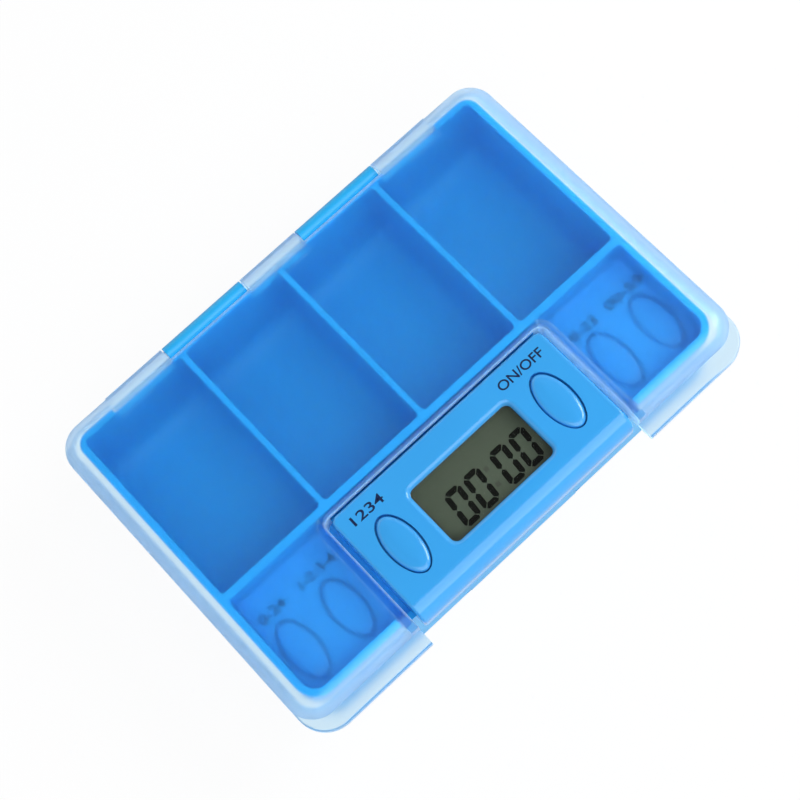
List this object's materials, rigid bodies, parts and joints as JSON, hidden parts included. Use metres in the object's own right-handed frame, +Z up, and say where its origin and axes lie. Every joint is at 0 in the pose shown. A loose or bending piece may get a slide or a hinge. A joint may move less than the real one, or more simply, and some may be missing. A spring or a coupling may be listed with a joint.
{
  "type": "pill box timer",
  "caption": "Pocket pill box: compartment tray, frosted hinged lid, display timer with alarm keys and sliding battery door.",
  "frame": {"origin": "on the surface that the box stands on, under the middle of its outline", "axes": "+X along the length, +Y towards the hinge, +Z up"},
  "size_m": [0.095, 0.0671, 0.0223],
  "materials": {
    "tray_plastic": "moulded, satin, slightly translucent blue",
    "cover_plastic": "moulded, glossy sky blue",
    "lid_plastic": "frosted translucent pale blue",
    "key_plastic": "moulded, glossy sky blue",
    "clear_lens": "clear acrylic, polished",
    "display_glass": "liquid crystal cell, olive grey",
    "reflector_film": "grey film",
    "holder_plastic": "black, moulded",
    "ribbon_film": "amber film",
    "board_laminate": "green solder mask",
    "resin": "black resin",
    "nickel": "bright nickel plate",
    "chip_ceramic": "fired, with tinned ends",
    "switch_plastic": "black, moulded",
    "plunger_plastic": "white, moulded",
    "cell_steel": "plain steel",
    "disc_brass": "plain brass",
    "piezo_ceramic": "silvered",
    "screw_steel": "zinc plated"
  },
  "bodies": {
    "housing": {"base_tray": "tray_plastic", "timer_cover": "cover_plastic", "window_lens": "clear_lens", "display_front_glass": "display_glass", "display_rear_glass": "display_glass", "display_reflector": "reflector_film", "display_holder": "holder_plastic", "display_ribbon": "ribbon_film", "circuit_board": "board_laminate", "chip_blob": "resin", "crystal_can": "nickel", "chip_parts": "chip_ceramic", "switch_bodies": "switch_plastic", "cell_left": "cell_steel", "cell_right": "cell_steel", "negative_contact": "nickel", "positive_contact": "nickel", "buzzer_disc": "disc_brass", "buzzer_ceramic": "piezo_ceramic", "buzzer_contacts": "nickel", "cover_screws": "screw_steel", "board_screws": "screw_steel"},
    "lid": {"lid": "lid_plastic"},
    "battery_door": {"battery_door": "tray_plastic", "cell_bridge": "nickel"},
    "key_memo": {"key_memo": "key_plastic", "plunger_memo": "plunger_plastic"},
    "key_on_off": {"key_on_off": "key_plastic", "plunger_on_off": "plunger_plastic"},
    "key_time": {"key_time": "key_plastic", "plunger_time": "plunger_plastic"},
    "key_alarm": {"key_alarm": "key_plastic", "plunger_alarm": "plunger_plastic"},
    "key_hour": {"key_hour": "key_plastic", "plunger_hour": "plunger_plastic"},
    "key_minute": {"key_minute": "key_plastic", "plunger_minute": "plunger_plastic"}
  },
  "joints": [
    {"name": "lid_hinge", "type": "hinge", "parent": "housing", "child": "lid", "pos_m": [0, 0.0321, 0.0197], "axis": [-1, 0, 0], "range_deg": [0, 115]},
    {"name": "battery_door_slide", "type": "slide", "parent": "housing", "child": "battery_door", "axis": [0, -1, 0], "range_m": [0, 0.018]},
    {"name": "key_memo_press", "type": "slide", "parent": "housing", "child": "key_memo", "axis": [0, 0, -1], "range_m": [0, 0.0005], "stiffness_N_per_m": 400, "springref_m": -0.001},
    {"name": "key_on_off_press", "type": "slide", "parent": "housing", "child": "key_on_off", "axis": [0, 0, -1], "range_m": [0, 0.0005], "stiffness_N_per_m": 400, "springref_m": -0.001},
    {"name": "key_time_press", "type": "slide", "parent": "housing", "child": "key_time", "axis": [0, 0, -1], "range_m": [0, 0.0005], "stiffness_N_per_m": 400, "springref_m": -0.001},
    {"name": "key_alarm_press", "type": "slide", "parent": "housing", "child": "key_alarm", "axis": [0, 0, -1], "range_m": [0, 0.0005], "stiffness_N_per_m": 400, "springref_m": -0.001},
    {"name": "key_hour_press", "type": "slide", "parent": "housing", "child": "key_hour", "axis": [0, 0, -1], "range_m": [0, 0.0005], "stiffness_N_per_m": 400, "springref_m": -0.001},
    {"name": "key_minute_press", "type": "slide", "parent": "housing", "child": "key_minute", "axis": [0, 0, -1], "range_m": [0, 0.0005], "stiffness_N_per_m": 400, "springref_m": -0.001}
  ]
}
